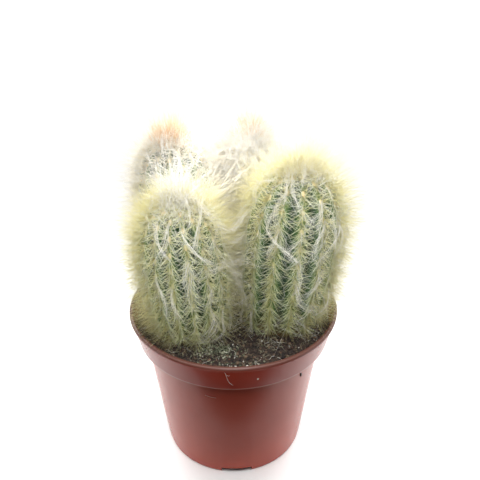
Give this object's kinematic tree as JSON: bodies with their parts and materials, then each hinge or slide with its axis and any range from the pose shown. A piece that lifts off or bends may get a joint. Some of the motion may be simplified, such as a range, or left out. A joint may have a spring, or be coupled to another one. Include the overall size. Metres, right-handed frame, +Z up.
{
  "type": "potted cactus",
  "caption": "Clump of ribbed columnar cactus stems with woolly, spiny skin and tufted crowns, rooted in soil in a thin-walled plastic nursery pot.",
  "frame": {"origin": "middle of the pot's flat underside, on the surface that it stands on", "axes": "+Z up along the pot's axis; -Y faces the viewer of the picture, +X to the right"},
  "size_m": [0.1106, 0.1134, 0.1704],
  "materials": {
    "pot_plastic": "moulded red-brown polypropylene, satin",
    "potting_soil": "damp dark potting mix, matt",
    "cactus_skin": "living grey-green cactus skin with pale spines and wool, satin",
    "yellow_tuft": "dense young spines and wool, pale yellow, soft",
    "amber_tuft": "dense young spines and wool, amber, soft"
  },
  "bodies": {
    "root": {"pot": "pot_plastic", "soil": "potting_soil", "stem_front_right": "cactus_skin", "stem_front_left": "cactus_skin", "stem_back_left": "cactus_skin", "stem_back_right": "cactus_skin", "crown_front_right": "yellow_tuft", "crown_front_left": "yellow_tuft", "crown_back_left": "amber_tuft", "crown_back_right": "amber_tuft"}
  },
  "joints": []
}
